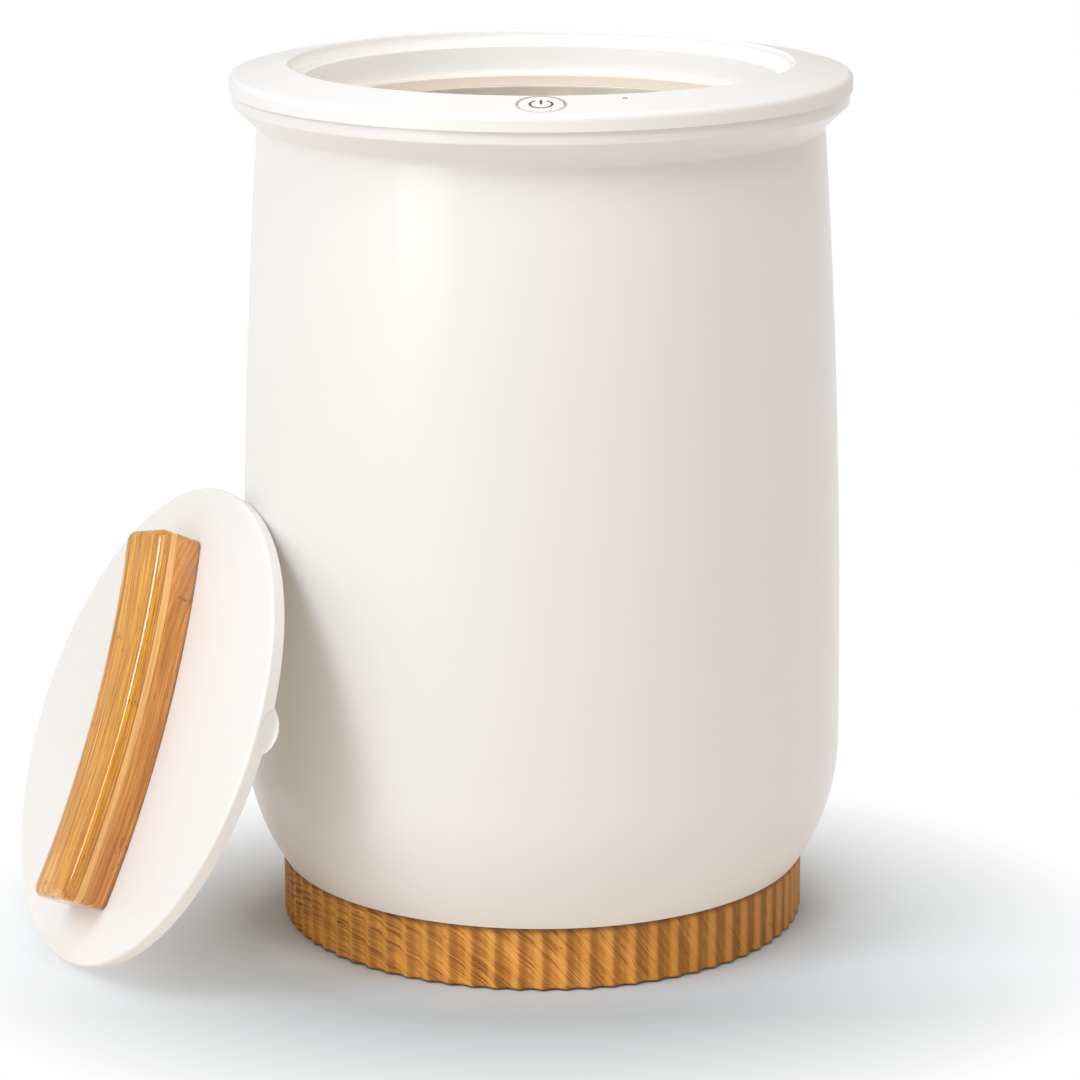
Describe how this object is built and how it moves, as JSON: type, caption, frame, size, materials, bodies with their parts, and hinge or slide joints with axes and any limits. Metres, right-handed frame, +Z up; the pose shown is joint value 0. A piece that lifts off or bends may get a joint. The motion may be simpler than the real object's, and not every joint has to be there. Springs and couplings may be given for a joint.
{
  "type": "towel warmer bucket",
  "caption": "Round electric towel warmer: a heated metal well in a gloss shell on a fluted bamboo base, with a push button on its rim and a lift-off lid with a bamboo handle.",
  "frame": {"origin": "on the bucket's axis, at the floor", "axes": "+Z up along the bucket's axis; -Y is the front, where the power button is; +X is the right side seen from the front; the lid leans on the left"},
  "size_m": [0.4414, 0.3419, 0.4554],
  "materials": {
    "shell_white": "warm white gloss moulding",
    "ring_white": "white gloss moulding",
    "lid_white": "white gloss moulding",
    "bamboo": "satin lacquered bamboo, fluted",
    "handle_bamboo": "gloss lacquered laminated bamboo",
    "collar_beige": "matt beige moulding",
    "silicone": "matt silicone rubber",
    "foot_rubber": "matt rubber",
    "bucket_metal": "satin anodised sheet",
    "steel": "zinc plated screws",
    "heater_rubber": "heater mat",
    "foil": "bright foil",
    "felt": "needled felt",
    "inner_grey": "matt glass-filled plastic",
    "board_green": "circuit board",
    "part_black": "matt black",
    "part_blue": "relay case",
    "brass": "plain",
    "clear_lens": "translucent",
    "ring_lens": "translucent grey-beige",
    "symbol_grey": "matt dark grey",
    "led_white": "LED",
    "cable_sheath": "cable sheath"
  },
  "bodies": {
    "bucket": {"outer_shell": "shell_white", "inlet_cover": "shell_white", "shell_floor": "inner_grey", "top_ring": "ring_white", "lid_seat": "ring_white", "bamboo_base": "bamboo", "anti_slip_ring": "foot_rubber", "base_plate": "inner_grey", "base_plate_screws": "steel", "bamboo_screws": "steel", "well_collar": "collar_beige", "collar_gasket": "silicone", "inner_bucket": "bucket_metal", "bucket_clamp": "inner_grey", "clamp_screws": "steel", "ring_screws": "steel", "bucket_seat": "inner_grey", "heater_belt": "heater_rubber", "reflector_foil": "foil", "insulation_wrap": "felt", "thermostat": "part_black", "thermal_cutout": "steel", "sensor_strap": "steel", "heat_sensor": "steel", "earth_tag": "brass", "earth_screw": "steel", "power_board": "board_green", "power_board_screws": "steel", "power_relay": "part_blue", "terminal_block": "part_black", "mains_fuse": "clear_lens", "fuse_clips": "brass", "filter_capacitor": "part_blue", "cord_gland": "silicone", "gland_nut": "inner_grey", "control_cable": "cable_sheath", "button_light_ring": "ring_lens", "light_guide": "clear_lens", "indicator_window": "clear_lens", "tact_switch": "part_black", "status_led": "led_white", "ring_leds": "led_white", "control_board": "board_green", "control_board_screws": "steel"},
    "lid": {"lid_shell": "lid_white", "lid_handle": "handle_bamboo", "handle_screws": "steel", "handle_washers": "steel", "lid_plate": "bucket_metal", "lid_plate_screws": "steel", "lid_gasket": "silicone", "lid_insulation": "felt"},
    "button": {"power_button": "ring_white", "power_symbol": "symbol_grey", "switch_plunger": "part_black"}
  },
  "joints": [
    {"name": "lid_lift", "type": "slide", "parent": "bucket", "child": "lid", "axis": [-0.4027, -0.2008, 0.893], "range_m": [0, 0.3]},
    {"name": "button_press", "type": "slide", "parent": "bucket", "child": "button", "axis": [0, 0.1822, -0.9833], "range_m": [0, 0.0008], "stiffness_N_per_m": 2500}
  ]
}
